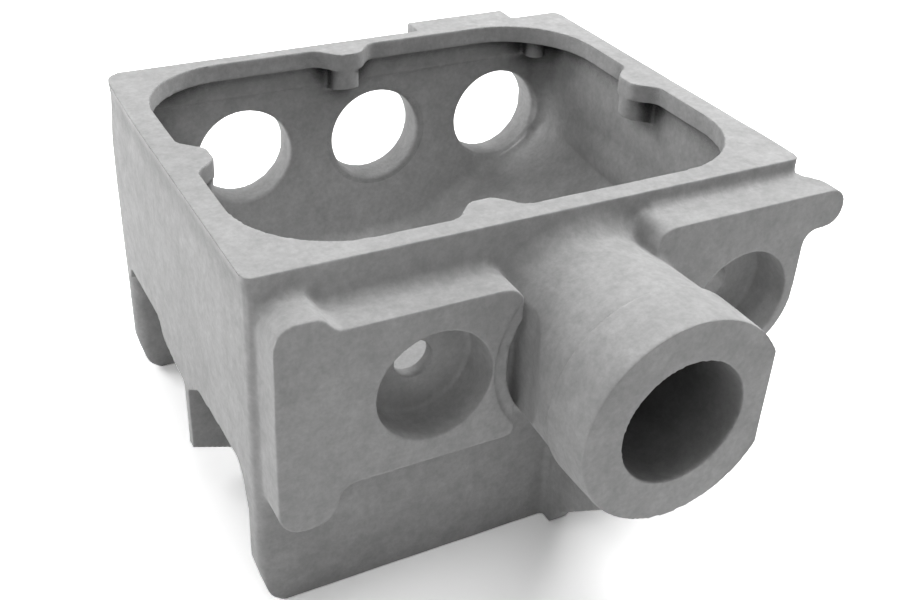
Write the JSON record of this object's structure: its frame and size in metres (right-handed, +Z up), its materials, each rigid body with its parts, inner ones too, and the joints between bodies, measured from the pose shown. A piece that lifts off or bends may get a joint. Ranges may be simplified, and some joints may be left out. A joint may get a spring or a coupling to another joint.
{
  "type": "gearbox case",
  "caption": "Raw cast open-top gearbox case with a lobed bolting rim, aligned shaft bores, raised bearing pads and a bored snout with a flatted collar.",
  "frame": {"origin": "centre of the outer box on the ground", "axes": "+X along the front wall to the right, +Y from the snout to the back wall along the shaft lines, +Z up to the rim"},
  "size_m": [0.322, 0.354, 0.196],
  "materials": {
    "casting": "raw sand-cast skin, matte and finely grained"
  },
  "bodies": {
    "root": {"gearbox_case": "casting"}
  },
  "joints": []
}
